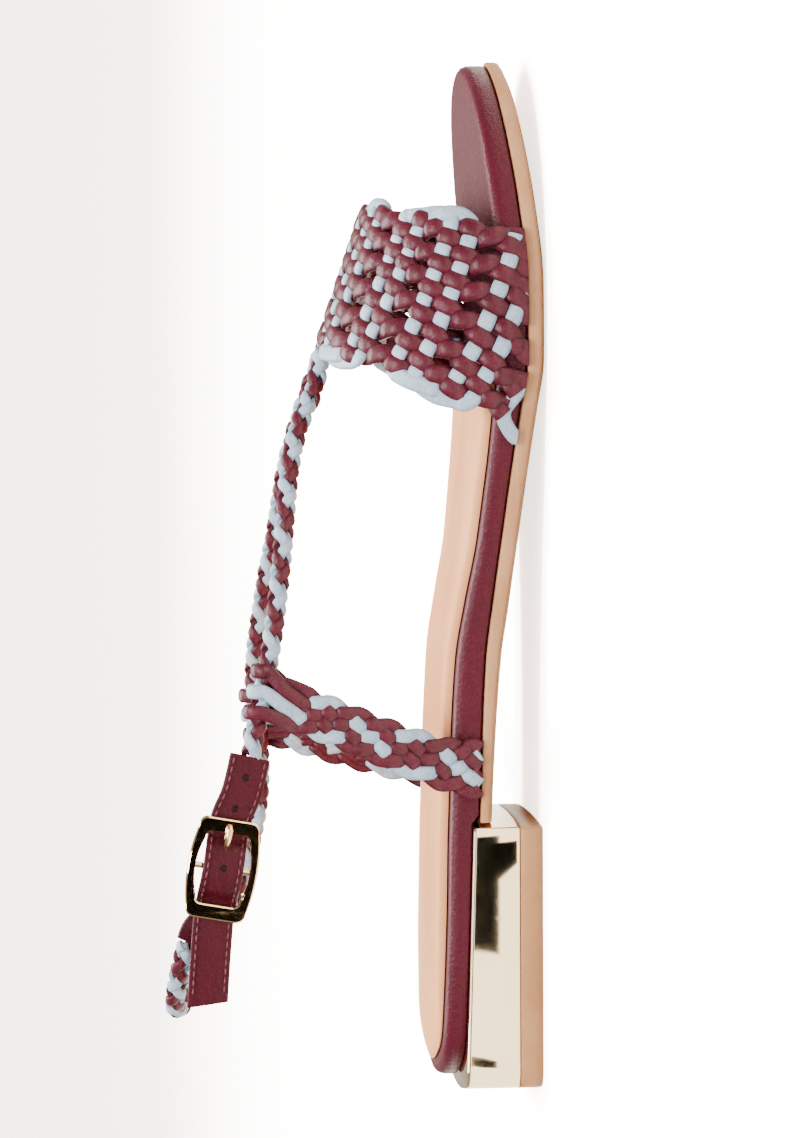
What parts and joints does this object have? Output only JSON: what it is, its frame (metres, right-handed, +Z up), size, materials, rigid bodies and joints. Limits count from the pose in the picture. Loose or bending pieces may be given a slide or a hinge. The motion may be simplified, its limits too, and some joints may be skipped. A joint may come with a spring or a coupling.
{
  "type": "braided leather sandal",
  "caption": "Right low-heeled leather sandal with a woven vamp, a braided ankle strap on two plaited side straps, a small buckle and a square block heel.",
  "frame": {"origin": "middle of the shoe's footprint on the floor, under the middle of its bounding box", "axes": "+X to the toe, along the shoe; +Y to the inner side of the right foot; +Z up"},
  "size_m": [0.2536, 0.0884, 0.092],
  "materials": {
    "outsole_tan": "smooth tan sole leather, satin edge",
    "leather_burgundy": "fine-grained burgundy leather, soft sheen",
    "leather_natural": "matt natural leather, slight grain",
    "heel_gold": "mirror-plated, pale gold",
    "lift_tan": "satin tan",
    "leather_woven": "burgundy and light-blue leather strips, soft sheen",
    "buckle_gold": "polished, pale gold"
  },
  "bodies": {
    "root": {"outsole": "outsole_tan", "footbed": "leather_burgundy", "insole": "leather_natural", "heel_block": "heel_gold", "heel_lift": "lift_tan", "upper": "leather_woven", "outer_quarter_strap": "leather_woven", "inner_quarter_strap": "leather_woven", "strap_tab": "leather_burgundy", "chape": "leather_burgundy", "buckle_frame": "buckle_gold", "buckle_prong": "buckle_gold"}
  },
  "joints": []
}
